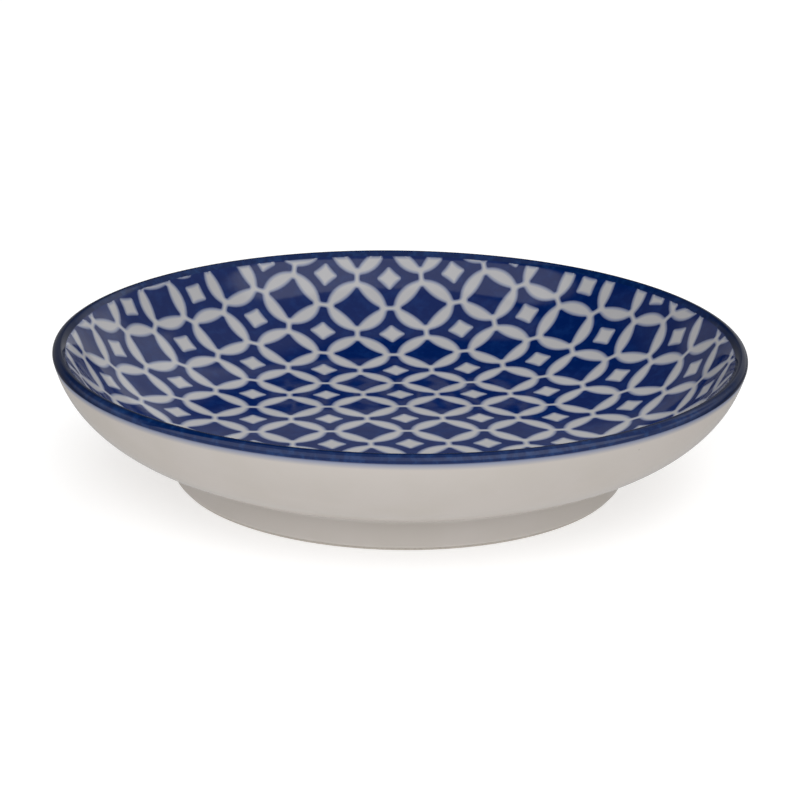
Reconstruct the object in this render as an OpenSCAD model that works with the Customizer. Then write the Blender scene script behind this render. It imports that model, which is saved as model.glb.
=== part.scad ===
// Soy sauce dish: a small round footed dish of glazed porcelain.
// The inside carries a cobalt print of interlaced circles, and a cobalt band runs over the lip.
// The origin is the middle of the foot on the table, and +Z points up.

/* [Dish] */
// Diameter over the lip
dish_d = 95; // [90:0.5:105]
// Height from the table to the top of the lip
dish_h = 18.9; // [17:0.05:21]
// Radius of the rounded lip, half the wall's thickness there
lip_r = 0.8; // [0.7:0.01:1.1]
// Thickness of the glaze over the clay
coat_t = 0.4; // [0.3:0.01:0.5]

/* [Well] */
// Radius of the flat floor inside
well_r = 20.7; // [16:0.1:23]
// Height of the floor inside above the table
well_z = 6; // [5.2:0.05:7]
// Reach of the soft curve that leaves the floor
well_reach = 19.9; // [15:0.1:21]
// Reach of the straighter stretch just under the lip
rim_reach = 4.45; // [3.5:0.05:7]
// Slope of the inside wall where it meets the lip, in degrees
rim_slope = 43; // [38:0.5:50]

/* [Outer wall] */
// Distance from the foot's side out to the start of the wall's curve
wall_start_w = 1.8; // [1.6:0.05:3]
// Height of the start of the wall's curve above the table
wall_start_z = 4.9; // [4.6:0.05:5.2]
// Slope of the wall as it leaves the foot, in degrees
wall_start_slope = 18.5; // [14:0.5:24]
// Reach of the curve that leaves the foot
wall_start_reach = 9.3; // [6:0.05:10]
// Slope of the wall just under the lip, in degrees
wall_end_slope = 75.5; // [70:0.5:86]
// Reach of the curve that runs into the lip
wall_end_reach = 5.75; // [4.5:0.05:8]

/* [Foot] */
// Diameter over the foot ring
foot_d = 62.6; // [56:0.2:66]
// Width of the foot ring, glaze included
foot_w = 3.5; // [3:0.1:5]
// Height of the hollow under the dish above the table
recess_h = 2.8; // [2.2:0.05:3.1]
// Radius where the hollow's ceiling runs into the ring
recess_r = 1.1; // [0.6:0.05:1.4]
// Radius where the outer wall runs into the ring
crease_r = 0.8; // [0.4:0.05:1.2]
// Radius on the edges of the bare foot
foot_edge_r = 0.4; // [0.2:0.05:0.4]
// Height of the bare clay left unglazed at the foot
bare_h = 0.45; // [0.4:0.05:0.8]
// Width of the ring's tongue that sits in the body's groove
tongue_w = 1.3; // [0.8:0.05:1.6]
// Height of the tongue
tongue_h = 0.8; // [0.4:0.05:1]
// Play around the tongue, filled with slip
slip_gap = 0.05; // [0.03:0.01:0.15]

/* [Rim band] */
// How far the band reaches down inside from the lip
band_drop = 0.55; // [0.3:0.05:1.5]

/* [Print] */
// Thickness of the cobalt print
print_t = 0.12; // [0.06:0.01:0.2]
// Least width of a star or frame that shows beside the band
print_least_w = 0.5; // [0.2:0.05:1]
// Distance between neighbouring circles of the lattice
pitch = 10.66; // [9:0.01:14]
// Turn of the lattice about the dish's axis, in degrees
lattice_turn = 3.8; // [-45:0.1:45]
// How far the print stretches up the wall, where 1 follows the wall's own length
print_stretch = 1.115; // [0.9:0.005:1.2]
// Where the dish's middle falls in the lattice, across and away, in shares of the pitch
lattice_shares = [0.4, 0.12];

/* [Hidden] */
$fn = 96;

clay = [0.90, 0.89, 0.87];
bare_clay = [0.84, 0.80, 0.74];
glaze = [0.80, 0.79, 0.78];
cobalt = [0.10, 0.15, 0.38];
band_cobalt = [0.08, 0.12, 0.28];

// Steps in each drawn curve
inside_steps = 9;
band_steps = 2;
outside_steps = 12;
lip_steps = 8;
fillet_steps = 5;
star_steps = 2;
wall_steps = 20;
frame_steps = 4;

// Stars and frames, in shares of the pitch from their own middle
star_tip_share = 0.346;
star_blunt_share = 0.02;
star_waist_share = 0.236;
frame_tip_share = 0.468;
frame_blunt_share = 0.058;
frame_waist_share = 0.276;
window_tip_share = 0.172;
window_waist_share = 0.122;

function along(angle) = [cos(angle), sin(angle)];
function bezier(p, t) = pow(1 - t, 3) * p[0] + 3 * pow(1 - t, 2) * t * p[1]
    + 3 * (1 - t) * pow(t, 2) * p[2] + pow(t, 3) * p[3];
function bezier_way(p, t) = pow(1 - t, 2) * (p[1] - p[0]) + 2 * (1 - t) * t * (p[2] - p[1])
    + pow(t, 2) * (p[3] - p[2]);
// The point of a curve moved sideways to its right by a distance
function beside(p, t, right) = let (way = bezier_way(p, t) / norm(bezier_way(p, t)))
    bezier(p, t) + right * [way[1], -way[0]];
function arc(middle, r, from, to, steps) =
    [for (k = [0:steps]) middle + r * along(from + (to - from) * k / steps)];
function backwards(list) = [for (k = [len(list) - 1:-1:0]) list[k]];

// The lip's middle, and the angles at which its round leaves the two walls
lip_mid = [dish_d / 2 - lip_r, dish_h - lip_r];
lip_out_angle = wall_end_slope - 90;
lip_in_angle = rim_slope + 90;
lip_out = lip_mid + lip_r * along(lip_out_angle);
lip_in = lip_mid + lip_r * along(lip_in_angle);

// The inside wall runs from the edge of the flat floor to the lip
inside = [[well_r, well_z], [well_r + well_reach, well_z],
          lip_in - rim_reach * along(rim_slope), lip_in];
band_share = 1 - band_drop / (3 * rim_reach);

// The outside wall runs from beside the foot to the lip
foot_r = foot_d / 2;
wall_start = [foot_r + wall_start_w, wall_start_z];
outside = [wall_start, wall_start + wall_start_reach * along(wall_start_slope),
           lip_out - wall_end_reach * along(wall_end_slope), lip_out];

// The clay's foot and underside lie one coat of glaze inside the finished ones
clay_foot_r = foot_r - coat_t;
clay_foot_in_r = foot_r - foot_w + coat_t;
clay_base_z = recess_h + coat_t;
clay_wall_start = beside(outside, 0, -coat_t);
clay_corner_z = clay_wall_start[1] - (clay_wall_start[0] - clay_foot_r) * tan(wall_start_slope);
tongue_mid_r = (clay_foot_r + clay_foot_in_r) / 2;

// Points along one surface, where deep is how far it lies inside the finished one: from the floor
// up to the band, on from the band's edge to the lip, up the outside, and over the lip inwards
function inside_line(deep) =
    [for (k = [0:inside_steps - 1]) beside(inside, band_share * k / inside_steps, deep)];
function band_line(deep) =
    [for (k = [0:band_steps - 1]) beside(inside, band_share + (1 - band_share) * k / band_steps, deep)];
function outside_line(deep) =
    [for (k = [0:outside_steps - 1]) beside(outside, k / outside_steps, -deep)];
function lip_line(deep) = arc(lip_mid, lip_r - deep, lip_out_angle, lip_in_angle, lip_steps);

module spin(outline) {
    rotate_extrude() polygon(outline);
}

// The thrown clay: floor, wall and lip, with a groove below for the foot ring
module porcelain_body() {
    groove_w = tongue_w / 2 + slip_gap;
    groove_top = clay_base_z + tongue_h + slip_gap;
    color(clay) spin(concat(
        [[0, clay_base_z], [tongue_mid_r - groove_w, clay_base_z],
         [tongue_mid_r - groove_w, groove_top], [tongue_mid_r + groove_w, groove_top],
         [tongue_mid_r + groove_w, clay_base_z], [clay_foot_r, clay_base_z],
         [clay_foot_r, clay_corner_z]],
        outside_line(coat_t),
        lip_line(coat_t),
        backwards(concat(inside_line(coat_t), band_line(coat_t))),
        [[0, well_z - coat_t]]));
}

// The foot ring that the dish stands on, with a tongue up into the body's groove
module foot_ring() {
    tongue_top = clay_base_z + tongue_h;
    color(bare_clay) spin(concat(
        arc([clay_foot_in_r + foot_edge_r, foot_edge_r], foot_edge_r, 180, 270, fillet_steps),
        arc([clay_foot_r - foot_edge_r, foot_edge_r], foot_edge_r, 270, 360, fillet_steps),
        [[clay_foot_r, clay_base_z], [tongue_mid_r + tongue_w / 2, clay_base_z],
         [tongue_mid_r + tongue_w / 2, tongue_top], [tongue_mid_r - tongue_w / 2, tongue_top],
         [tongue_mid_r - tongue_w / 2, clay_base_z], [clay_foot_in_r, clay_base_z]]));
}

// White glaze inside, under the print, from the middle of the well to the band
module well_glaze() {
    color(glaze) spin(concat(
        [[0, well_z - coat_t]],
        inside_line(coat_t),
        [beside(inside, band_share, coat_t), beside(inside, band_share, print_t)],
        backwards(inside_line(print_t)),
        [[0, well_z - print_t]]));
}

// White glaze outside, from the band down over the wall to the bare foot
module outer_glaze() {
    crease_x = foot_r + crease_r;
    wall_z = wall_start_z - (wall_start[0] - crease_x) * tan(wall_start_slope);
    crease_mid = [crease_x, wall_z - crease_r / cos(wall_start_slope)];
    color(glaze) spin(concat(
        arc([clay_foot_r, bare_h + coat_t], coat_t, 270, 360, fillet_steps),
        arc(crease_mid, crease_r, 180, 90 + wall_start_slope, fillet_steps),
        outside_line(0),
        [lip_out, lip_mid + (lip_r - coat_t) * along(lip_out_angle)],
        backwards(outside_line(coat_t)),
        [[clay_foot_r, clay_corner_z]]));
}

// White glaze under the dish, over the hollow's ceiling and down inside the foot ring
module base_glaze() {
    ring_in_r = foot_r - foot_w;
    color(glaze) spin(concat(
        [[0, clay_base_z], [0, recess_h]],
        arc([ring_in_r - recess_r, recess_h - recess_r], recess_r, 90, 0, fillet_steps),
        arc([clay_foot_in_r, bare_h + coat_t], coat_t, 180, 270, fillet_steps),
        [[clay_foot_in_r, clay_base_z]]));
}

// The cobalt band over the lip
module rim_band() {
    color(band_cobalt) spin(concat(
        lip_line(0),
        backwards(band_line(0)),
        band_line(coat_t),
        backwards(lip_line(coat_t))));
}

// Distance from the middle along the print, against plan radius, up the inside wall and past it
function wall_point(k) = bezier(inside, k / wall_steps);
function wall_length(k) = k == 0 ? well_r : wall_length(k - 1) + norm(wall_point(k) - wall_point(k - 1));
wall_table = [for (k = [0:wall_steps]) let (r = wall_point(k)[0])
    [r + print_stretch * (wall_length(k) - r), r]];
wall_last = wall_table[wall_steps];
wall_gain = wall_last - wall_table[wall_steps - 1];
reach_table = concat([[0, 0]], wall_table, [wall_last + wall_gain * pitch / wall_gain[0]]);
band_in_r = beside(inside, band_share, 0)[0];

// A point of the flat lattice, in pitches from a circle's middle, laid on the dish in plan
function laid(at) = let (
        flat = pitch * (at - lattice_shares),
        turned = [flat[0] * cos(lattice_turn) - flat[1] * sin(lattice_turn),
                  flat[0] * sin(lattice_turn) + flat[1] * cos(lattice_turn)],
        far = norm(turned))
    far == 0 ? turned : turned * lookup(far, reach_table) / far;

// Four hollow sides between four tips, laid on the dish. Each side is a parabola from tip to tip
// through the waist, and blunt is half the width of a tip that is cut square.
function hollow_diamond(at, tip, blunt, waist, steps) =
    [for (q = [[1, 0], [0, 1], [-1, 0], [0, -1]])
        let (side = [-q[1], q[0]],
             first = tip * q + blunt * side,
             last = tip * side + blunt * q,
             pull = 2 * waist * (q + side) / norm(q + side) - (first + last) / 2)
        for (k = [0:blunt > 0 ? steps : steps - 1])
            let (s = k / steps)
            laid(at + pow(1 - s, 2) * first + 2 * s * (1 - s) * pull + pow(s, 2) * last)];

// The thin layer that the print fills
module print_layer() {
    spin(concat(
        [[0, well_z - print_t]],
        inside_line(print_t),
        [beside(inside, band_share, print_t), beside(inside, band_share, 0)],
        backwards(inside_line(0)),
        [[0, well_z]]));
}

// The lattice's circles, or with a shift of half a pitch the places between them
function places(shift) = let (n = ceil(wall_last[0] / pitch) + 1)
    [for (i = [-n:n], j = [-n:n]) [i + shift, j + shift]];
function shows(outline) = min([for (p = outline) norm(p)]) < band_in_r - print_least_w;

// Solid cobalt stars, one in the middle of each circle
module star_print() {
    color(cobalt) intersection() {
        print_layer();
        linear_extrude(dish_h) for (at = places(0)) {
            star = hollow_diamond(at, star_tip_share, star_blunt_share, star_waist_share, star_steps);
            if (shows(star)) polygon(star);
        }
    }
}

// Cobalt frames between the circles, each round a white window
module frame_print() {
    color(cobalt) intersection() {
        print_layer();
        linear_extrude(dish_h) for (at = places(1 / 2)) {
            frame = hollow_diamond(at, frame_tip_share, frame_blunt_share, frame_waist_share, frame_steps);
            window = hollow_diamond(at, window_tip_share, 0, window_waist_share, star_steps);
            if (shows(frame)) difference() {
                polygon(frame);
                polygon(window);
            }
        }
    }
}

porcelain_body();
foot_ring();
well_glaze();
outer_glaze();
base_glaze();
rim_band();
star_print();
frame_print();
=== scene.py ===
"""Soy sauce dish: the glaze coats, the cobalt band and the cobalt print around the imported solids.

Every length below is in millimetres, as in the solids, until a mesh is written in metres. The dish
is a surface of revolution: each coat is a closed ring turned from an outline, and each star and frame
of the print is a thin patch that is laid on the inside of the dish.
"""
import math

import bpy
import numpy as np
from mathutils import Matrix, Vector


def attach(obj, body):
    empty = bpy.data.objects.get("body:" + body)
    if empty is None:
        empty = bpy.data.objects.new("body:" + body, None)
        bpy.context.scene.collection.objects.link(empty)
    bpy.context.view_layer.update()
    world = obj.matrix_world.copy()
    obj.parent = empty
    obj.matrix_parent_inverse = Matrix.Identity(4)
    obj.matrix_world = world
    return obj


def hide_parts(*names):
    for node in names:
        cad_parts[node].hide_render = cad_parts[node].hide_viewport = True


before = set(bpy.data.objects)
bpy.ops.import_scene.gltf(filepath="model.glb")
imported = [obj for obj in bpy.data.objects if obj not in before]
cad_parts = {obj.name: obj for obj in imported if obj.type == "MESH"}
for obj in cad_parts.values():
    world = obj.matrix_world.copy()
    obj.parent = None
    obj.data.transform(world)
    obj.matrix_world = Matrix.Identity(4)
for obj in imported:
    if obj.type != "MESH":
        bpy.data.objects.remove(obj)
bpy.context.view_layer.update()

MM = 0.001

# The dish, with the same values and names as its solids
DISH_D = 95
DISH_H = 18.9
LIP_R = 0.8
COAT_T = 0.4
WELL_R = 20.7
WELL_Z = 6
WELL_REACH = 19.9
RIM_REACH = 4.45
RIM_SLOPE = 43
WALL_START_W = 1.8
WALL_START_Z = 4.9
WALL_START_SLOPE = 18.5
WALL_START_REACH = 9.3
WALL_END_SLOPE = 75.5
WALL_END_REACH = 5.75
FOOT_D = 62.6
FOOT_W = 3.5
RECESS_H = 2.8
RECESS_R = 1.1
CREASE_R = 0.8
FOOT_EDGE_R = 0.4
BARE_H = 0.45
TONGUE_W = 1.3
TONGUE_H = 0.8
BAND_DROP = 0.55
PITCH = 10.66
LATTICE_TURN = 3.8
PRINT_STRETCH = 1.115
LATTICE_SHARES = np.array([0.4, 0.12])
PRINT_T = 0.12
PRINT_LEAST_W = 0.5

# The print's shapes, in shares of the pitch
STAR = {"tip": 0.346, "blunt": 0.026, "waist": 0.235, "nose": 0.022}
FRAME = {"tip": 0.469, "blunt": 0.066, "waist": 0.276, "nose": 0.05}
WINDOW = {"tip": 0.172, "blunt": 0.009, "waist": 0.121, "nose": 0.007}
LEAST_BLUNT = 0.004
TIP_GROWTH = 0.66  # a tip's soft edge as a share of a side's, since two frames' tips lie close together
INK_BLEED = 0.028  # how far the cobalt's soft edge reaches to either side
PRINT_PROUD = 0.018  # how far the print's middle stands over the glaze, in millimetres
PRINT_TUCK = 0.010  # how far its edge lies under the glaze, in millimetres

BLEEDS = np.array([1.5, 1.3, 0.6, 0, -1])  # rows of the soft edge, in INK_BLEED, from outside to inside
STAR_ROWS = np.array([0.8, 0.6, 0.4, 0.2, 0])  # rows inside a star, in shares of its edge's reach
FRAME_ROWS = np.array([0.25, 0.5, 0.75])  # rows between a frame's edge and its window's, in shares
STAR_STEPS = 8
FRAME_STEPS = 10
TIP_STEPS = 4
TIP_ROUND_SHARE = 0.85  # the most of a tip's half width that its rounding takes
PAST_SHARE = 0.01  # how much of its way past the band's edge a point of the print keeps
STEEP_SHARE = 0.5  # a face whose corners face this little along it is shaded flat

FAR_GAP = 99  # the distance from the band that a coat keeps where it doesn't meet the band
TURN_STEPS = 256
WALL_STEPS = 48
BAND_STEPS = 4
LIP_STEPS = 28
FILLET_STEPS = 8
SHARE_STEPS = 400
PAST_STEPS = 19
TINY = 1e-9


# Outlines

def along(angle):
    """The unit step at an angle in degrees: (cosine, sine)."""
    return np.array([math.cos(math.radians(angle)), math.sin(math.radians(angle))])


def unit(v):
    return v / np.maximum(np.linalg.norm(v, axis=-1, keepdims=True), TINY * MM)


def left_of(way):
    """The direction a quarter turn to the left of each step (x, y): (-y, x)."""
    return np.stack([-way[..., 1], way[..., 0]], -1)


def bezier(p, t):
    """Cubic curve with four poles: the sum of each pole times its Bernstein weight at t."""
    t = np.asarray(t, float)[..., None]
    return (1 - t) ** 3 * p[0] + 3 * (1 - t) ** 2 * t * p[1] + 3 * (1 - t) * t**2 * p[2] + t**3 * p[3]


def bezier_way(p, t):
    """Unit direction of the same curve: the weighted sum of the steps between its poles."""
    t = np.asarray(t, float)[..., None]
    return unit((1 - t) ** 2 * (p[1] - p[0]) + 2 * (1 - t) * t * (p[2] - p[1]) + t**2 * (p[3] - p[2]))


def curve_run(p, start, end, steps, side, deep):
    """A stretch of the cubic curve from share start to end, moved deep into the wall.

    side is 1 where the open air is on the curve's left, and -1 on its right."""
    t = np.linspace(start, end, steps + 1)
    out = side * left_of(bezier_way(p, t))
    return bezier(p, t) - deep * out, out


def arc_run(middle, r, start, end, steps, side=1):
    """Points of a circle between two angles, and the directions away from its middle times side."""
    a = np.radians(np.linspace(start, end, steps + 1))
    out = np.stack([np.cos(a), np.sin(a)], -1)
    return np.asarray(middle) + r * out, side * out


def line_run(start, end, out):
    """A straight stretch in two points, with one facing direction."""
    return np.array([start, end], float), np.array([out, out], float)


def backwards(run):
    return run[0][::-1], run[1][::-1]


LIP_MID = np.array([DISH_D / 2 - LIP_R, DISH_H - LIP_R])
LIP_OUT_ANGLE = WALL_END_SLOPE - 90
LIP_IN_ANGLE = RIM_SLOPE + 90
LIP_OUT = LIP_MID + LIP_R * along(LIP_OUT_ANGLE)
LIP_IN = LIP_MID + LIP_R * along(LIP_IN_ANGLE)
INSIDE = np.array([[WELL_R, WELL_Z], [WELL_R + WELL_REACH, WELL_Z],
                   LIP_IN - RIM_REACH * along(RIM_SLOPE), LIP_IN])
BAND_SHARE = 1 - BAND_DROP / (3 * RIM_REACH)
FOOT_R = FOOT_D / 2
WALL_START = np.array([FOOT_R + WALL_START_W, WALL_START_Z])
OUTSIDE = np.array([WALL_START, WALL_START + WALL_START_REACH * along(WALL_START_SLOPE),
                    LIP_OUT - WALL_END_REACH * along(WALL_END_SLOPE), LIP_OUT])
CLAY_FOOT_R = FOOT_R - COAT_T
RING_IN_R = FOOT_R - FOOT_W
CLAY_FOOT_IN_R = RING_IN_R + COAT_T
CLAY_BASE_Z = RECESS_H + COAT_T


# Meshes

def write_mesh(name, points, faces, normals, marks):
    """A mesh from points in millimetres, faces as lists of point numbers, a facing direction for each
    face corner in the same order, and named values for each point."""
    mesh = bpy.data.meshes.new(name)
    mesh.from_pydata((points * MM).tolist(), [], faces)
    mesh.shade_smooth()
    mesh.normals_split_custom_set(unit(normals).tolist())
    for mark, values in marks.items():
        mesh.attributes.new(mark, "FLOAT", "POINT").data.foreach_set("value", values.astype(np.float32))
    piece = bpy.data.objects.new(name, mesh)
    bpy.context.scene.collection.objects.link(piece)
    return piece


def outline_of(runs):
    """Joins runs into one closed outline: its points, and the facing directions at both ends of each
    of its edges. A run starts where the one before it ends."""
    points = np.concatenate([p[:-1] for p, out in runs])
    first = np.concatenate([out[:-1] for p, out in runs])
    last = np.concatenate([out[1:] for p, out in runs])
    return points, first, last


def turned(name, runs, band_edge=None):
    """A closed ring or disc: each outline point (r, z) goes round to (r cos a, r sin a, z).

    The outline runs with the material on its left. A point on the axis is one vertex, and the edge
    between two such points makes no face. Each vertex keeps its distance from the band's edge, in
    millimetres, as band_gap."""
    outline, first, last = outline_of(runs)
    count = len(outline)
    a = np.linspace(0, 2 * np.pi, TURN_STEPS, endpoint=False)
    ring = np.stack([np.cos(a), np.sin(a)], -1)
    on_axis = outline[:, 0] < TINY
    heights = np.repeat(outline[:, None, 1:], TURN_STEPS, 1)
    grid = np.concatenate([outline[:, None, :1] * ring[None], heights], -1)
    sizes = np.where(on_axis, 1, TURN_STEPS)
    number = np.cumsum(sizes) - sizes
    index = number[:, None] + np.where(on_axis[:, None], 0, np.arange(TURN_STEPS)[None])
    points = np.concatenate([row[:1] if alone else row for row, alone in zip(grid, on_axis)])
    faces, normals = [], []
    turn_on = np.roll(np.arange(TURN_STEPS), -1)
    for k in range(count):
        n = (k + 1) % count
        if on_axis[k] and on_axis[n]:
            continue
        low = np.concatenate([first[k, 0] * ring, np.full((TURN_STEPS, 1), first[k, 1])], -1)
        high = np.concatenate([last[k, 0] * ring, np.full((TURN_STEPS, 1), last[k, 1])], -1)
        corner = [(index[k], low), (index[k][turn_on], low[turn_on]),
                  (index[n][turn_on], high[turn_on]), (index[n], high)]
        if on_axis[k]:
            corner.pop(0)
        elif on_axis[n]:
            corner.pop(3)
        faces += np.stack([c[0] for c in corner], -1).tolist()
        normals.append(np.stack([c[1] for c in corner], 1).reshape(-1, 3))
    gap = np.full(count, FAR_GAP) if band_edge is None else np.linalg.norm(outline - band_edge, axis=-1)
    return write_mesh(name, points, faces, np.concatenate(normals), {"band_gap": np.repeat(gap, sizes)})


def well_coat():
    """White glaze inside: out along the clay from the middle, up the band's edge and back in."""
    below = curve_run(INSIDE, 0, BAND_SHARE, WALL_STEPS, 1, COAT_T)
    above = curve_run(INSIDE, 0, BAND_SHARE, WALL_STEPS, 1, 0)
    floor_deep = line_run((0, WELL_Z - COAT_T), (WELL_R, WELL_Z - COAT_T), (0, -1))
    floor_top = line_run((WELL_R, WELL_Z), (0, WELL_Z), (0, 1))
    side = line_run(below[0][-1], above[0][-1], bezier_way(INSIDE, BAND_SHARE))
    axis = line_run((0, WELL_Z), (0, WELL_Z - COAT_T), (0, 1))
    return turned("well_glaze_coat", [
        floor_deep, (below[0], -below[1]), side, backwards(above), floor_top, axis], above[0][-1])


def band_coat():
    """Cobalt band: over the lip from outside to inside, down to the well's glaze, and back in the clay."""
    lip = arc_run(LIP_MID, LIP_R, LIP_OUT_ANGLE, LIP_IN_ANGLE, LIP_STEPS)
    lip_clay = arc_run(LIP_MID, LIP_R - COAT_T, LIP_OUT_ANGLE, LIP_IN_ANGLE, FILLET_STEPS, -1)
    top = curve_run(INSIDE, BAND_SHARE, 1, BAND_STEPS, 1, 0)
    clay = curve_run(INSIDE, BAND_SHARE, 1, BAND_STEPS, 1, COAT_T)
    down = line_run(top[0][0], clay[0][0], -bezier_way(INSIDE, BAND_SHARE))
    out = line_run(lip_clay[0][0], lip[0][0], -left_of(along(LIP_OUT_ANGLE)[None])[0])
    return turned("rim_band_coat", [lip, backwards(top), down, (clay[0], -clay[1]), backwards(lip_clay), out])


def wall_coat():
    """White glaze outside: up from the foot's bare edge, round the crease, up the wall to the lip."""
    slope = math.radians(WALL_START_SLOPE)
    crease_x = FOOT_R + CREASE_R
    wall_z = WALL_START_Z - (WALL_START[0] - crease_x) * math.tan(slope)
    crease_mid = (crease_x, wall_z - CREASE_R / math.cos(slope))
    edge = arc_run((CLAY_FOOT_R, BARE_H + COAT_T), COAT_T, 270, 360, FILLET_STEPS)
    crease = arc_run(crease_mid, CREASE_R, 180, 90 + WALL_START_SLOPE, FILLET_STEPS, -1)
    wall = curve_run(OUTSIDE, 0, 1, WALL_STEPS, -1, 0)
    clay = curve_run(OUTSIDE, 0, 1, WALL_STEPS, -1, COAT_T)
    corner_z = clay[0][0][1] - (clay[0][0][0] - CLAY_FOOT_R) * math.tan(slope)
    slope_out = -left_of(along(WALL_START_SLOPE)[None])[0]
    return turned("outer_glaze_coat", [
        edge,
        line_run(edge[0][-1], crease[0][0], (1, 0)),
        crease,
        line_run(crease[0][-1], wall[0][0], slope_out),
        wall,
        line_run(wall[0][-1], clay[0][-1], along(WALL_END_SLOPE)),
        backwards((clay[0], -clay[1])),
        line_run(clay[0][0], (CLAY_FOOT_R, corner_z), -slope_out),
        line_run((CLAY_FOOT_R, corner_z), edge[0][0], (-1, 0))], LIP_OUT)


def base_coat():
    """White glaze under the dish: over the hollow's ceiling, round the corner, down inside the ring."""
    corner = arc_run((RING_IN_R - RECESS_R, RECESS_H - RECESS_R), RECESS_R, 90, 0, FILLET_STEPS, -1)
    edge = arc_run((CLAY_FOOT_IN_R, BARE_H + COAT_T), COAT_T, 180, 270, FILLET_STEPS)
    return turned("base_glaze_coat", [
        line_run((0, RECESS_H), corner[0][0], (0, -1)),
        corner,
        line_run(corner[0][-1], edge[0][0], (-1, 0)),
        edge,
        line_run(edge[0][-1], (CLAY_FOOT_IN_R, CLAY_BASE_Z), (1, 0)),
        line_run((CLAY_FOOT_IN_R, CLAY_BASE_Z), (0, CLAY_BASE_Z), (0, 1)),
        line_run((0, CLAY_BASE_Z), (0, RECESS_H), (0, 1))])


def foot():
    """Bare foot ring: its rounded land on the table, straight sides and the tongue in the body."""
    edge = FOOT_EDGE_R
    mid = (CLAY_FOOT_R + CLAY_FOOT_IN_R) / 2
    inner = arc_run((CLAY_FOOT_IN_R + edge, edge), edge, 180, 270, FILLET_STEPS)
    outer = arc_run((CLAY_FOOT_R - edge, edge), edge, 270, 360, FILLET_STEPS)
    top = CLAY_BASE_Z + TONGUE_H
    shoulder = [(CLAY_FOOT_R, CLAY_BASE_Z), (mid + TONGUE_W / 2, CLAY_BASE_Z), (mid + TONGUE_W / 2, top),
                (mid - TONGUE_W / 2, top), (mid - TONGUE_W / 2, CLAY_BASE_Z), (CLAY_FOOT_IN_R, CLAY_BASE_Z)]
    faced = [(0, 1), (1, 0), (0, 1), (-1, 0), (0, 1)]
    return turned("foot_ring_clay", [
        inner,
        line_run(inner[0][-1], outer[0][0], (0, -1)),
        outer,
        line_run(outer[0][-1], shoulder[0], (1, 0)),
        *[line_run(a, b, out) for a, b, out in zip(shoulder, shoulder[1:], faced)],
        line_run(shoulder[-1], inner[0][0], (-1, 0))])


# The print

SHARES = np.linspace(0, 1, SHARE_STEPS + 1)
WALL_POINTS = bezier(INSIDE, SHARES)
WALL_WAYS = bezier_way(INSIDE, SHARES)
BAND_IN_R = bezier(INSIDE, BAND_SHARE)[0]
WALL_PARTS = np.linalg.norm(np.diff(WALL_POINTS, axis=0), axis=1)
WALL_LENGTHS = WELL_R + np.concatenate([[0], np.cumsum(WALL_PARTS)])
WALL_KEYS = WALL_POINTS[:, 0] + PRINT_STRETCH * (WALL_LENGTHS - WALL_POINTS[:, 0])
LAST, EARLIER = -1, -1 - PAST_STEPS
PAST_RATE = (WALL_POINTS[LAST, 0] - WALL_POINTS[EARLIER, 0]) / (WALL_KEYS[LAST] - WALL_KEYS[EARLIER])
REACH_KEYS = np.concatenate([[0], WALL_KEYS, [WALL_KEYS[LAST] + PITCH]])
REACH_RADII = np.concatenate([[0], WALL_POINTS[:, 0], [WALL_POINTS[LAST, 0] + PITCH * PAST_RATE]])


def laid(at):
    """Lattice points, in pitches, in plan on the dish: moved by the middle's shares, turned by the
    lattice's turn, and drawn in so that each lies as far out along the wall as on the flat print."""
    flat = PITCH * (at - LATTICE_SHARES)
    c, s = along(LATTICE_TURN)
    across = np.stack([flat[..., 0] * c - flat[..., 1] * s, flat[..., 0] * s + flat[..., 1] * c], -1)
    far = np.linalg.norm(across, axis=-1)
    return across * (np.interp(far, REACH_KEYS, REACH_RADII) / np.maximum(far, TINY))[..., None]


def on_inside(plan, lift):
    """Plan points set on the inside surface and lifted off it, with the surface's facing directions.

    A point past the band's edge is drawn back to just beyond that edge."""
    far = np.maximum(np.linalg.norm(plan, axis=-1), TINY)
    r = far - (1 - PAST_SHARE) * np.maximum(far - BAND_IN_R, 0)
    ring = plan / far[..., None]
    z = np.interp(r, WALL_POINTS[:, 0], WALL_POINTS[:, 1])
    out = np.stack([np.interp(r, WALL_POINTS[:, 0], -WALL_WAYS[:, 1]),
                    np.interp(r, WALL_POINTS[:, 0], WALL_WAYS[:, 0])], -1)
    r = r + lift * out[..., 0]
    z = z + lift * out[..., 1]
    points = np.concatenate([ring * r[..., None], z[..., None]], -1)
    return points, np.concatenate([ring * out[..., :1], out[..., 1:]], -1)


def rounded(start, corner, end):
    """Points of a corner that is rounded by the quadratic curve from start to end, with the corner as
    its pole."""
    t = np.linspace(0, 1, TIP_STEPS + 1)[:, None]
    return (1 - t) ** 2 * start + 2 * t * (1 - t) * corner + t**2 * end


def side_circle(tip, blunt, waist):
    """The circle of a hollow side: its middle lies at (c, c), and it runs through both tips' corners
    and through the waist on the diagonal. Returns c and the radius."""
    w = waist / math.sqrt(2)
    c = (tip**2 + blunt**2 - 2 * w**2) / (2 * (tip + blunt) - 4 * w)
    return c, math.hypot(tip - c, blunt - c)


def hollow_diamond(tip, blunt, waist, nose, steps):
    """Four hollow sides between four tips, in shares of the pitch.

    blunt is half the width of a tip, and nose is how far from a corner its rounding starts."""
    c, r = side_circle(tip, blunt, waist)
    start = math.atan2(blunt - c, tip - c)
    end = math.atan2(tip - c, blunt - c)
    a = np.linspace(start - nose / r, end + nose / r, steps + 1)
    side = np.stack([c + r * np.cos(a), c + r * np.sin(a)], -1)
    inner = blunt - min(nose, TIP_ROUND_SHARE * blunt)
    quarter = np.concatenate([
        rounded(np.array([tip, inner]), np.array([tip, blunt]), side[0])[:-1], side,
        rounded(side[-1], np.array([blunt, tip]), np.array([inner, tip]))[1:]])
    quarters = [quarter]
    for _ in range(3):
        quarters.append(left_of(quarters[-1]))
    return np.concatenate(quarters)


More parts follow.
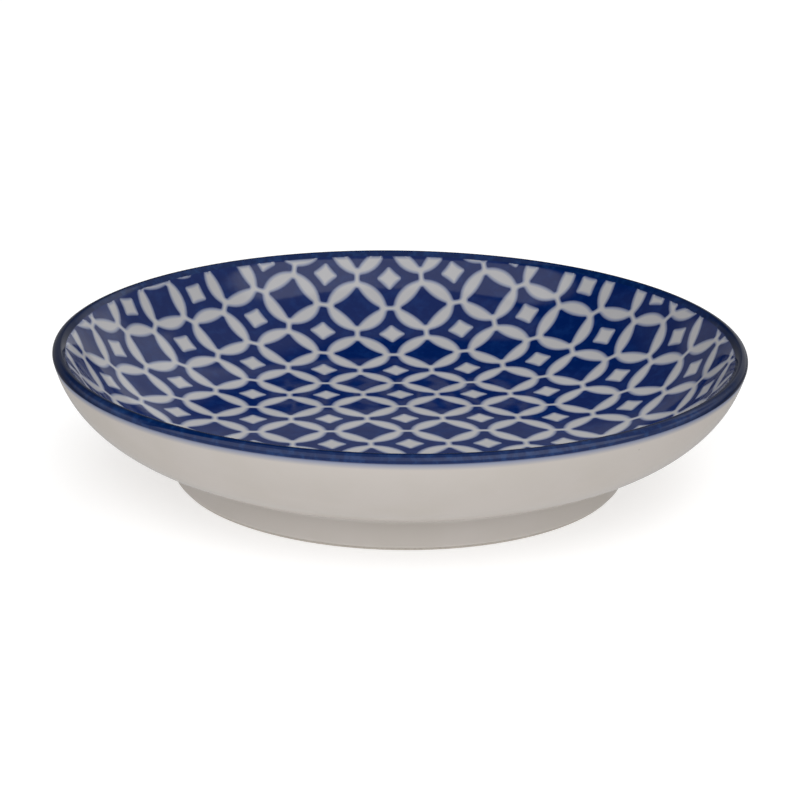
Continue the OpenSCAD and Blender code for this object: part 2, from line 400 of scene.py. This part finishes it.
def grown(shape, by):
    """The hollow diamond's values with all its edges moved outwards by a share of the pitch.

    A tip that would end in less than no width is cut back along its sides instead."""
    c, _ = side_circle(shape["tip"], shape["blunt"], shape["waist"])
    slant = math.atan2(c - shape["tip"], c - shape["blunt"])
    blunt = shape["blunt"] + by * (1 / math.cos(slant) - math.tan(slant))
    tip = shape["tip"] + by * TIP_GROWTH
    if blunt < LEAST_BLUNT:
        tip -= (LEAST_BLUNT - blunt) / math.tan(slant)
        blunt = LEAST_BLUNT
    nose = max(shape["nose"] + by, LEAST_BLUNT)
    return {"tip": tip, "blunt": blunt, "waist": shape["waist"] + by, "nose": nose}


def outlines(shape, steps, growths):
    """The shape's outline at each growth, as rows."""
    return np.stack([hollow_diamond(**grown(shape, by), steps=steps) for by in growths])


def places(shift):
    """Lattice places, in pitches, over more than the whole dish."""
    n = math.ceil(WALL_KEYS[-1] / PITCH) + 1
    i = np.arange(-n, n + 1)
    return np.stack(np.meshgrid(i, i, indexing="ij"), -1).reshape(-1, 2) + shift


def patches(name, shift, rows, lifts, inks):
    """The print's patches at every place of the lattice, each a closed thin solid through its rows.

    rows is an array of rows by points round the shape, in pitches from its middle, and closes on
    itself both ways. lifts says how far each row stands off the glaze, and inks how far it lies inside
    the print's edge, in millimetres. Rows with one lift below the glaze make the hidden underside. A
    row that has shrunk to the shape's middle is one vertex, and its faces are triangles."""
    plan = laid(places(shift)[:, None, None, :] + rows[None])
    plan = plan[np.linalg.norm(plan, axis=-1).min((1, 2)) < BAND_IN_R - PRINT_LEAST_W]
    count, high, wide = plan.shape[:3]
    lift = np.broadcast_to(np.asarray(lifts, float)[None, :, None], (count, high, wide))
    points, out = on_inside(plan, lift)
    points, out = points.reshape(-1, 3), out.reshape(-1, 3)
    index = np.arange(count * high * wide).reshape(count, high, wide)
    pole = np.abs(rows).max((1, 2)) == 0
    index[:, pole] = index[:, pole, :1]
    on = np.roll(index, -1, 2)
    quads = np.stack([index, on, np.roll(on, -1, 1), np.roll(index, -1, 1)], -1).reshape(-1, 4)
    apart = np.concatenate([np.ones((len(quads), 1), bool), quads[:, 1:] != quads[:, :-1]], 1)
    full = apart.sum(1) > 2
    quads, apart = quads[full], apart[full]
    hidden = (lift == -PRINT_T).reshape(-1)[quads].all(1)
    facing = np.where(hidden[:, None, None], -out[quads], out[quads])
    corner = points[quads]
    flat = unit(np.cross(corner[:, 2] - corner[:, 0], corner[:, 3] - corner[:, 1]))
    steep = (facing * flat[:, None]).sum(-1).min(1) < STEEP_SHARE
    facing[steep] = flat[steep, None]
    facing = facing[apart]
    used, corners = np.unique(quads[apart], return_inverse=True)
    faces = np.split(corners, np.cumsum(apart.sum(1))[:-1])
    soft = np.broadcast_to(np.asarray(inks, float)[None, :, None], (count, high, wide))
    ink = np.where(np.linalg.norm(plan, axis=-1) > BAND_IN_R, max(inks), soft)
    return write_mesh(name, points[used], faces, facing, {"ink": ink.reshape(-1)[used]})


def star_patches():
    """Stars: from beyond the soft edge to the middle above, and back to the edge below."""
    rim = outlines(STAR, STAR_STEPS, INK_BLEED * BLEEDS)
    inner = STAR_ROWS[:, None, None] * rim[-1:]
    under = np.array([0, 1])[:, None, None] * rim[:1]
    lifts = [-PRINT_TUCK, 0] + [PRINT_PROUD] * (3 + len(STAR_ROWS)) + [-PRINT_T] * 2
    inks = INK_BLEED * PITCH * np.concatenate([-BLEEDS, np.ones(2 + len(STAR_ROWS))])
    return patches("star_print_cobalt", 0.0, np.concatenate([rim, inner, under]), lifts, inks)


def frame_patches():
    """Frames: from beyond the outer soft edge to beyond the window's edge above, and back below."""
    rim = outlines(FRAME, FRAME_STEPS, INK_BLEED * BLEEDS)
    sill = outlines(WINDOW, FRAME_STEPS, -INK_BLEED * BLEEDS[::-1])
    lifts = [-PRINT_TUCK, 0] + [PRINT_PROUD] * (6 + len(FRAME_ROWS)) + [0, -PRINT_TUCK] + [-PRINT_T] * 2
    inks = INK_BLEED * PITCH * np.concatenate([
        -BLEEDS, np.ones(len(FRAME_ROWS)), -BLEEDS[::-1], -BLEEDS[:1], -BLEEDS[:1]])
    middle = rim[-1:] + FRAME_ROWS[:, None, None] * (sill[:1] - rim[-1:])
    rows = np.concatenate([rim, middle, sill, sill[-1:], rim[:1]])
    return patches("frame_print_cobalt", 0.5, rows, lifts, inks)


# Materials

class Recipe:
    """A material's node tree, with short calls for its nodes."""

    def __init__(self, name):
        self.material = bpy.data.materials.new(name)
        self.material.use_nodes = True
        self.tree = self.material.node_tree
        self.shader = self.tree.nodes["Principled BSDF"]
        self.place = self.tree.nodes.new("ShaderNodeTexCoord").outputs["Object"]

    def add(self, kind, **settings):
        node = self.tree.nodes.new(kind)
        for key, value in settings.items():
            setattr(node, key, value)
        return node

    def put(self, socket, value):
        """Links an output to the socket, or sets a plain value on it."""
        if isinstance(value, bpy.types.NodeSocket):
            self.tree.links.new(value, socket)
        else:
            socket.default_value = value

    def math(self, operation, a, b):
        node = self.add("ShaderNodeMath", operation=operation)
        self.put(node.inputs[0], a)
        self.put(node.inputs[1], b)
        return node.outputs[0]

    def mark(self, name):
        """A value that the mesh keeps at each point."""
        return self.add("ShaderNodeAttribute", attribute_name=name).outputs["Fac"]

    def noise(self, size_mm, detail=2.0, rough=0.5):
        """Smooth noise whose features are about size_mm across."""
        node = self.add("ShaderNodeTexNoise")
        self.put(node.inputs["Vector"], self.place)
        node.inputs["Scale"].default_value = 1 / (size_mm * MM)
        node.inputs["Detail"].default_value = detail
        node.inputs["Roughness"].default_value = rough
        return node.outputs[0]

    def span(self, value, low, high, to_low=0.0, to_high=1.0, smooth=True):
        """value from low to high, stretched to to_low to to_high and held there."""
        node = self.add("ShaderNodeMapRange", interpolation_type="SMOOTHSTEP" if smooth else "LINEAR")
        self.put(node.inputs["Value"], value)
        for name, number in (("From Min", low), ("From Max", high), ("To Min", to_low), ("To Max", to_high)):
            node.inputs[name].default_value = number
        return node.outputs[0]

    def mix(self, share, a, b):
        node = self.add("ShaderNodeMix", data_type="RGBA")
        self.put(node.inputs["Factor"], share)
        for socket, colour in ((node.inputs["A"], a), (node.inputs["B"], b)):
            self.put(socket, (*colour, 1.0) if isinstance(colour, tuple) else colour)
        return node.outputs["Result"]

    def bump(self, height, distance_mm):
        node = self.add("ShaderNodeBump")
        self.put(node.inputs["Height"], height)
        node.inputs["Distance"].default_value = distance_mm * MM
        node.inputs["Strength"].default_value = 1.0
        return node.outputs[0]

    def finish(self, colour, roughness, normal, shine):
        for key, value in (("Base Color", colour), ("Roughness", roughness), ("Normal", normal),
                           ("Specular IOR Level", shine)):
            self.put(self.shader.inputs[key], value)
        return self.material


# Colours: a plain one, and one that soft patches of it take. Lengths are in millimetres.
# Painted light and shade: the inside and the outside are one clear glaze over one clay, but the outer white
# is painted lighter and warmer and the inner white darker, for the light that falls on each side.
OUTER_WHITE_PAINTED_LIGHT = (0.53, 0.49, 0.457), (0.513, 0.474, 0.436)
INNER_WHITE_PAINTED_SHADE = (0.46, 0.455, 0.462), (0.445, 0.44, 0.446)
PRINT_BLUE = (0.0006, 0.0122, 0.092), (0.003, 0.021, 0.118)
BAND_BLUE = (0.001, 0.013, 0.075), (0.007, 0.034, 0.130)
# Painted shade: the foot ring's bare clay is painted darker than the body's, which is the same clay, for the
# shade low by the table.
FOOT_CLAY_PAINTED_SHADE = (0.44, 0.40, 0.35), (0.38, 0.34, 0.30)
BODY_CLAY = (0.60, 0.58, 0.55), (0.56, 0.54, 0.51)
# Painted shade: the band's colour towards a slant, darker than its own cobalt, for the light that doesn't
# come back out of the glaze there.
BAND_SLANT_PAINTED_SHADE_BLUE = (0.002, 0.007, 0.030)
WASH_BLUE = (0.22, 0.248, 0.355)
SPECK_BROWN = (0.20, 0.17, 0.15)
OUTER_BLEED = 1.0, 0.2, 0.0  # distances from the band of pure white, of the wash and of full cobalt
INNER_BLEED = 0.6, 0.15, 0.0
PRINT_STREAK = 1.6
BAND_STREAK = 1.2
STREAK_LIMITS = 0.42, 0.72
CLOUD = 9.0
CLOUD_DETAIL = 3.0
CLOUD_LIMITS = 0.35, 0.68
SPECK_CELL = 5.0
SPECK_RADII = 0.012, 0.028  # in cells
SPECK_LEAST = 0.93  # the share of cells that have no speck
SPECK_DEPTH = 0.6
GLOSS_PATCH = 4.0
GLOSS_LIMITS = 0.3, 0.7
GLOSS_ROUGHNESS = 0.05, 0.09
PEEL = 2.6
PEEL_DEEP = 0.012
SHINE_FACINGS = 0.30, 0.62  # how far to a slant the shine starts and stops to fall
SHINE = 0.5
OUTER_SLANT_SHINE = 0.02
INNER_SLANT_SHINE = 0.05
BAND_SLANT_SHINE = 0.012
BAND_FACINGS = 0.35, 0.75
GRAIN = 0.35
GRAIN_LIMITS = 0.35, 0.7
GRAIN_ROUGH_LIMITS = 0.3, 0.7
GRAIN_ROUGHNESS = 0.75, 0.92
GRAIN_DEEP = 0.03
FINE_DETAIL = 4.0
FINE_ROUGH = 0.6


def glaze_gloss(m, slant_shine):
    """The glaze's skin: an uneven gloss, a faint orange peel, and a shine that grows less towards a
    slant than bare glass's, as the photograph shows it."""
    facing = m.add("ShaderNodeLayerWeight").outputs["Facing"]
    rough = m.span(m.noise(GLOSS_PATCH), *GLOSS_LIMITS, *GLOSS_ROUGHNESS)
    return rough, m.bump(m.noise(PEEL), PEEL_DEEP), m.span(facing, *SHINE_FACINGS, SHINE, slant_shine)


def white_tone(m, plain, cloudy):
    """The colour of clear glaze over white clay: soft clouds and a few fine dark specks."""
    colour = m.mix(m.span(m.noise(CLOUD, CLOUD_DETAIL), *CLOUD_LIMITS), plain, cloudy)
    cells = m.add("ShaderNodeTexVoronoi")
    m.put(cells.inputs["Vector"], m.place)
    cells.inputs["Scale"].default_value = 1 / (SPECK_CELL * MM)
    parts = m.add("ShaderNodeSeparateColor")
    m.put(parts.inputs[0], cells.outputs["Color"])
    chosen = m.math("GREATER_THAN", parts.outputs[0], SPECK_LEAST)
    dot = m.span(cells.outputs["Distance"], *SPECK_RADII, 1.0, 0.0)
    return m.mix(m.math("MULTIPLY", m.math("MULTIPLY", chosen, dot), SPECK_DEPTH), colour, SPECK_BROWN)


def cobalt_tone(m, tones, streak):
    """The colour of cobalt under clear glaze: thinner in soft patches."""
    return m.mix(m.span(m.noise(streak, FINE_DETAIL, FINE_ROUGH), *STREAK_LIMITS), *tones)


def stained(m, mark, pure, edge, full, white, cobalt):
    """White glaze where the mark is pure, a pale blue wash at edge, and cobalt from full on."""
    wash = m.mix(m.span(mark, pure, edge, smooth=False), white, WASH_BLUE)
    return m.mix(m.span(mark, edge, full, smooth=False), wash, cobalt)


def white_glaze(name, tones, bleed, slant_shine):
    """White glaze into which the band's cobalt bleeds over a short way."""
    m = Recipe(name)
    cobalt = cobalt_tone(m, BAND_BLUE, BAND_STREAK)
    colour = stained(m, m.mark("band_gap"), *bleed, white_tone(m, *tones), cobalt)
    return m.finish(colour, *glaze_gloss(m, slant_shine))


def print_glaze(name):
    """Cobalt print with soft edges that run out to the inner white glaze's colour, which is painted darker
    for shade.
    """
    m = Recipe(name)
    reach = INK_BLEED * PITCH
    colour = stained(m, m.mark("ink"), -BLEEDS[0] * reach, 0.0, reach,
                     white_tone(m, *INNER_WHITE_PAINTED_SHADE), cobalt_tone(m, PRINT_BLUE, PRINT_STREAK))
    return m.finish(colour, *glaze_gloss(m, INNER_SLANT_SHINE))


def band_glaze(name):
    """Cobalt band, which looks darker at a slant, where little of the light in the glaze comes back."""
    m = Recipe(name)
    facing = m.add("ShaderNodeLayerWeight").outputs["Facing"]
    # painted shade: the band's colour is darkened towards a slant
    colour = m.mix(m.span(facing, *BAND_FACINGS), cobalt_tone(m, BAND_BLUE, BAND_STREAK), BAND_SLANT_PAINTED_SHADE_BLUE)
    return m.finish(colour, *glaze_gloss(m, BAND_SLANT_SHINE))


def bare_clay(name, tones):
    """Fired clay without glaze: matt, with a fine grain."""
    m = Recipe(name)
    grain = m.noise(GRAIN, FINE_DETAIL, FINE_ROUGH)
    colour = m.mix(m.span(grain, *GRAIN_LIMITS), *tones)
    rough = m.span(grain, *GRAIN_ROUGH_LIMITS, *GRAIN_ROUGHNESS)
    return m.finish(colour, rough, m.bump(grain, GRAIN_DEEP), SHINE)


# Studio

CAMERA_FAR = 351.5
CAMERA_RISE = 18.474
CAMERA_AIM_Z = 10.25
CAMERA_ROLL = 0.882
CAMERA_LENS = 114.12
CAMERA_SHIFT = (0.0006, -0.0013)
CAMERA_CLIP = 0.01, 20
LAMPS = {"front_softbox": (180, 45, 3.3), "back_softbox": (20, 40, 1.55)}  # turn, rise, level
LAMP_FAR = 1.0
LAMP_SIDE = 1.0
FLOOR_HALF = 3.0
FLOOR_Z = -0.02 * MM
FLOOR_COLOUR = (0.62, 0.62, 0.62, 1)
FLOOR_GLOW = 0.55


def set_camera():
    data = bpy.data.cameras.new("camera")
    data.lens = CAMERA_LENS
    data.shift_x, data.shift_y = CAMERA_SHIFT
    data.clip_start, data.clip_end = CAMERA_CLIP
    camera = bpy.data.objects.new("camera", data)
    back = along(CAMERA_RISE) * CAMERA_FAR * MM
    tilt = Matrix.Rotation(math.radians(90 - CAMERA_RISE), 4, "X")
    roll = Matrix.Rotation(math.radians(CAMERA_ROLL), 4, "Z")
    camera.matrix_world = Matrix.Translation((0, -back[0], back[1] + CAMERA_AIM_Z * MM)) @ (tilt @ roll)
    bpy.context.scene.collection.objects.link(camera)
    bpy.context.scene.camera = camera


def toward(turn, rise):
    """The unit direction at a turn from +Y towards +X and a rise above the floor, in degrees."""
    flat, up = along(rise)
    ahead, across = along(turn)
    return Vector((flat * across, flat * ahead, up))


def softbox(name, turn, rise, level):
    """A soft square lamp that faces the dish from a direction. level is how bright its face is.

    The glaze doesn't mirror it, because ROOM holds the room as the glaze shows it."""
    data = bpy.data.lights.new(name, "AREA")
    data.shape = "RECTANGLE"
    data.size = data.size_y = LAMP_SIDE
    data.energy = level * math.pi * LAMP_SIDE**2
    lamp = bpy.data.objects.new(name, data)
    lamp.location = toward(turn, rise) * LAMP_FAR
    lamp.rotation_euler = toward(turn, rise).to_track_quat("Z", "Y").to_euler()
    lamp.visible_camera = lamp.visible_glossy = False
    bpy.context.scene.collection.objects.link(lamp)


DOWN, BACK, FRONT, LEFT, RIGHT = (0, 0, -1), (0, 1, 0), (0, -1, 0), (-1, 0, 0), (1, 0, 0)
BESIDE_WINDOW = toward(117, 0)
ABOVE = DOWN, 0.03, -0.03
BELOW = DOWN, -0.03, 0.03

# The soft light that falls on the dish, and the room that its glaze mirrors. Each part is a level and
# the limits that its rays keep to: a direction, and the two values of the ray's product with that
# direction between which the part fades in.
SOFT = {"sky": (0.12, ABOVE), "table": (1.04, BELOW)}
ROOM = {
    "table": (0.45, BELOW),
    "right_wall": (0.33, ABOVE, (DOWN, -0.90, -0.865), (RIGHT, 0.06, 0.20)),
    "ceiling": (0.28, (DOWN, -0.865, -0.90)),
    "front_wall": (0.95, ABOVE, ((0, -0.17, -1), -0.828, -0.808), (FRONT, 0.08, 0.18)),
    "window": (0.64, ABOVE, (DOWN, -0.66, -0.60), (BACK, 0.0, 0.2),
               (BESIDE_WINDOW, -0.40, -0.30), (-BESIDE_WINDOW, -0.40, -0.30)),
    "sweep": (0.50, ABOVE, (DOWN, -0.40, -0.30), (BACK, -0.1, 0.1)),
    "corner": (0.15, ABOVE, (DOWN, -0.70, -0.50), (LEFT, -0.05, 0.05), (BACK, -0.1, 0.1)),
}


def set_world():
    """White for the camera, soft light from all round, and a dim room in the glaze's reflections.

    The room has a wall on the right and a bright one in front, a window at the back on the right, a
    ceiling, a pale sweep at the back just above the table, and a dim corner at the back on the left."""
    world = bpy.data.worlds.new("studio")
    bpy.context.scene.world = world
    world.use_nodes = True
    tree = world.node_tree
    background = tree.nodes["Background"]
    background.inputs["Color"].default_value = (1, 1, 1, 1)
    path = tree.nodes.new("ShaderNodeLightPath")
    ray = tree.nodes.new("ShaderNodeTexCoord").outputs["Generated"]

    def rises(direction, low, high):
        """0 to 1 as the ray's product with the direction goes from low to high."""
        dot = tree.nodes.new("ShaderNodeVectorMath")
        dot.operation = "DOT_PRODUCT"
        tree.links.new(ray, dot.inputs[0])
        dot.inputs[1].default_value = direction
        node = tree.nodes.new("ShaderNodeMapRange")
        node.interpolation_type = "SMOOTHSTEP"
        tree.links.new(dot.outputs["Value"], node.inputs["Value"])
        for key, number in (("From Min", low), ("From Max", high)):
            node.inputs[key].default_value = number
        return node.outputs[0]

    def joined(operation, *values):
        """The values taken together by the operation, one after another."""
        result = values[0]
        for value in values[1:]:
            node = tree.nodes.new("ShaderNodeMath")
            node.operation = operation
            for socket, given in zip(node.inputs, (result, value)):
                if isinstance(given, bpy.types.NodeSocket):
                    tree.links.new(given, socket)
                else:
                    socket.default_value = given
            result = node.outputs[0]
        return result

    def light(parts):
        """The sum of a table's parts."""
        return joined("ADD", *[joined("MULTIPLY", level, *[rises(*limit) for limit in limits])
                               for level, *limits in parts.values()])

    mirrored = path.outputs["Is Glossy Ray"]
    seen = joined("ADD", joined("MULTIPLY", mirrored, light(ROOM)),
                  joined("MULTIPLY", joined("SUBTRACT", 1, mirrored), light(SOFT)))
    tree.links.new(joined("MAXIMUM", path.outputs["Is Camera Ray"], seen), background.inputs["Strength"])


def set_floor():
    """A plain white floor that only the camera sees, from above, with the dish's soft shadow on it."""
    mesh = bpy.data.meshes.new("floor")
    corners = [(x * FLOOR_HALF, y * FLOOR_HALF, FLOOR_Z) for x, y in ((-1, -1), (1, -1), (1, 1), (-1, 1))]
    mesh.from_pydata(corners, [], [(0, 1, 2, 3)])
    floor = bpy.data.objects.new("floor", mesh)
    bpy.context.scene.collection.objects.link(floor)
    floor.visible_diffuse = floor.visible_glossy = floor.visible_transmission = floor.visible_shadow = False
    material = bpy.data.materials.new("floor_white")
    material.use_nodes = True
    tree = material.node_tree
    tree.nodes.clear()
    out = tree.nodes.new("ShaderNodeOutputMaterial")
    matt = tree.nodes.new("ShaderNodeBsdfDiffuse")
    matt.inputs["Color"].default_value = FLOOR_COLOUR
    glow = tree.nodes.new("ShaderNodeEmission")
    glow.inputs["Strength"].default_value = FLOOR_GLOW
    both = tree.nodes.new("ShaderNodeAddShader")
    clear = tree.nodes.new("ShaderNodeBsdfTransparent")
    side = tree.nodes.new("ShaderNodeNewGeometry")
    choice = tree.nodes.new("ShaderNodeMixShader")
    tree.links.new(matt.outputs[0], both.inputs[0])
    tree.links.new(glow.outputs[0], both.inputs[1])
    tree.links.new(side.outputs["Backfacing"], choice.inputs[0])
    tree.links.new(both.outputs[0], choice.inputs[1])
    tree.links.new(clear.outputs[0], choice.inputs[2])
    tree.links.new(choice.outputs[0], out.inputs[0])
    mesh.materials.append(material)


def dress(piece, material, slot, *nodes):
    """Puts a finished piece on the dish in place of its CAD nodes."""
    piece.data.materials.append(material)
    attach(piece, "root")
    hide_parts(*nodes)


# outer_white is the glaze painted lighter and inner_white the same glaze painted darker: painted light and
# painted shade.
outer_white = white_glaze("outer_white_glaze", OUTER_WHITE_PAINTED_LIGHT, OUTER_BLEED, OUTER_SLANT_SHINE)
inner_white = white_glaze("inner_white_glaze", INNER_WHITE_PAINTED_SHADE, INNER_BLEED, INNER_SLANT_SHINE)
print_blue = print_glaze("print_cobalt")
band_blue = band_glaze("band_cobalt")
# The bare foot's clay is painted darker than the body's: painted shade.
foot_clay = bare_clay("bare_foot_clay", FOOT_CLAY_PAINTED_SHADE)
body_clay = bare_clay("body_clay", BODY_CLAY)

dress(well_coat(), inner_white, "white_glaze", "well_glaze")
dress(band_coat(), band_blue, "cobalt_band", "rim_band")
dress(wall_coat(), outer_white, "white_glaze", "outer_glaze")
dress(base_coat(), outer_white, "white_glaze", "base_glaze")
dress(foot(), foot_clay, "bare_foot", "foot_ring")
dress(star_patches(), print_blue, "cobalt_print", "star_print")
dress(frame_patches(), print_blue, "cobalt_print", "frame_print")
for slot_of_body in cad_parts["porcelain_body"].material_slots:
    slot_of_body.material = body_clay

set_camera()
set_world()
set_floor()
for lamp_name, place in LAMPS.items():
    softbox(lamp_name, *place)

bpy.context.scene.view_settings.view_transform = "Standard"
